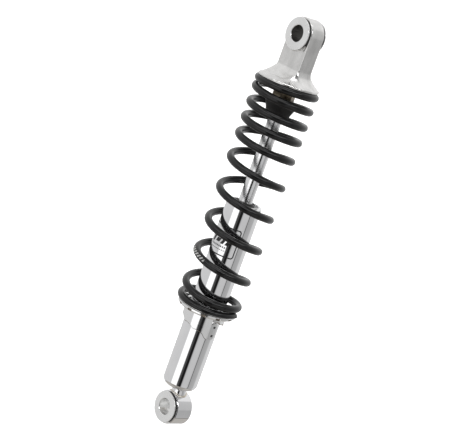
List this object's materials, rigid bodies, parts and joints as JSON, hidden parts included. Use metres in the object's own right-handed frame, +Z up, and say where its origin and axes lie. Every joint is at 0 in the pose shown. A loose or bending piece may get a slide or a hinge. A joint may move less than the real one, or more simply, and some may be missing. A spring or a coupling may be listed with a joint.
{
  "type": "motorcycle rear shock absorber",
  "caption": "Chromed twin-tube damper in a black progressive coil spring, with a cam preload ring and a rubber-bushed eye at each end.",
  "frame": {"origin": "on the lower eye's bolt axis, where the damper's centre line crosses it", "axes": "+Z up the damper's centre line to the upper eye; both eye bolts run along Y, and the sleeves' flanged faces look to -Y"},
  "size_m": [0.0564, 0.0564, 0.3694],
  "materials": {
    "cast_aluminium": "polished casting, satin",
    "satin_steel": "fine turned, satin",
    "tube_chrome": "bright chrome plate",
    "rod_chrome": "hard chrome, ground",
    "cam_chrome": "chrome plate over pressed and cut steel",
    "black_spring_paint": "black powder coat, semi-gloss",
    "black_rubber": "matt moulded rubber",
    "yellow_zinc": "yellow passivated zinc",
    "plain_steel": "oiled machined steel",
    "bearing_plastic": "low-friction bearing material",
    "valve_brass": "machined",
    "label_foil": "silver foil with a printed border"
  },
  "bodies": {
    "upper_sleeve": {"upper_bush_sleeve": "satin_steel", "upper_bush_collar": "satin_steel"},
    "top_mount": {"top_eye": "cast_aluminium", "upper_bush_rubber": "black_rubber", "lock_nut": "yellow_zinc", "bump_stop": "black_rubber", "piston_rod": "rod_chrome", "piston": "plain_steel", "piston_band": "bearing_plastic", "piston_shims": "plain_steel", "piston_nut": "plain_steel", "top_out_bumper": "black_rubber", "coil_spring": "black_spring_paint"},
    "damper_body": {"outer_tube": "tube_chrome", "inner_tube": "plain_steel", "base_valve": "valve_brass", "base_valve_bolt": "plain_steel", "rod_guide": "cast_aluminium", "guide_bush": "bearing_plastic", "rod_seal": "black_rubber", "seal_washer": "plain_steel", "dust_wiper": "black_rubber", "stop_lugs": "cam_chrome", "lug_rivets": "plain_steel", "label": "label_foil", "lower_eye": "tube_chrome", "lower_bush_rubber": "black_rubber"},
    "seat_plate": {"spring_seat": "tube_chrome"},
    "cam_ring": {"preload_cam": "cam_chrome"},
    "lower_sleeve": {"lower_bush_sleeve": "satin_steel"}
  },
  "joints": [
    {"name": "upper_twist", "type": "hinge", "parent": "upper_sleeve", "child": "top_mount", "pos_m": [0, 0, 0.34], "axis": [0, 1, 0], "range_deg": [-15, 15], "stiffness_Nm_per_rad": 20},
    {"name": "damper_stroke", "type": "slide", "parent": "top_mount", "child": "damper_body", "axis": [0, 0, 1], "range_m": [0, 0.075], "stiffness_N_per_m": 20000, "springref_m": -0.01, "deforming": ["coil_spring"]},
    {"name": "preload_turn", "type": "hinge", "parent": "seat_plate", "child": "cam_ring", "pos_m": [0, 0, 0.09], "axis": [0, 0, -1], "range_deg": [0, 136]},
    {"name": "preload_lift", "type": "slide", "parent": "damper_body", "child": "seat_plate", "axis": [0, 0, 1], "range_m": [0, 0.0112]},
    {"name": "lower_twist", "type": "hinge", "parent": "damper_body", "child": "lower_sleeve", "pos_m": [0, 0, 0], "axis": [0, 1, 0], "range_deg": [-15, 15], "stiffness_Nm_per_rad": 20}
  ],
  "couplings": [
    {"joint": "preload_lift", "follows": "preload_turn", "m_per_rad": 0.004718}
  ]
}
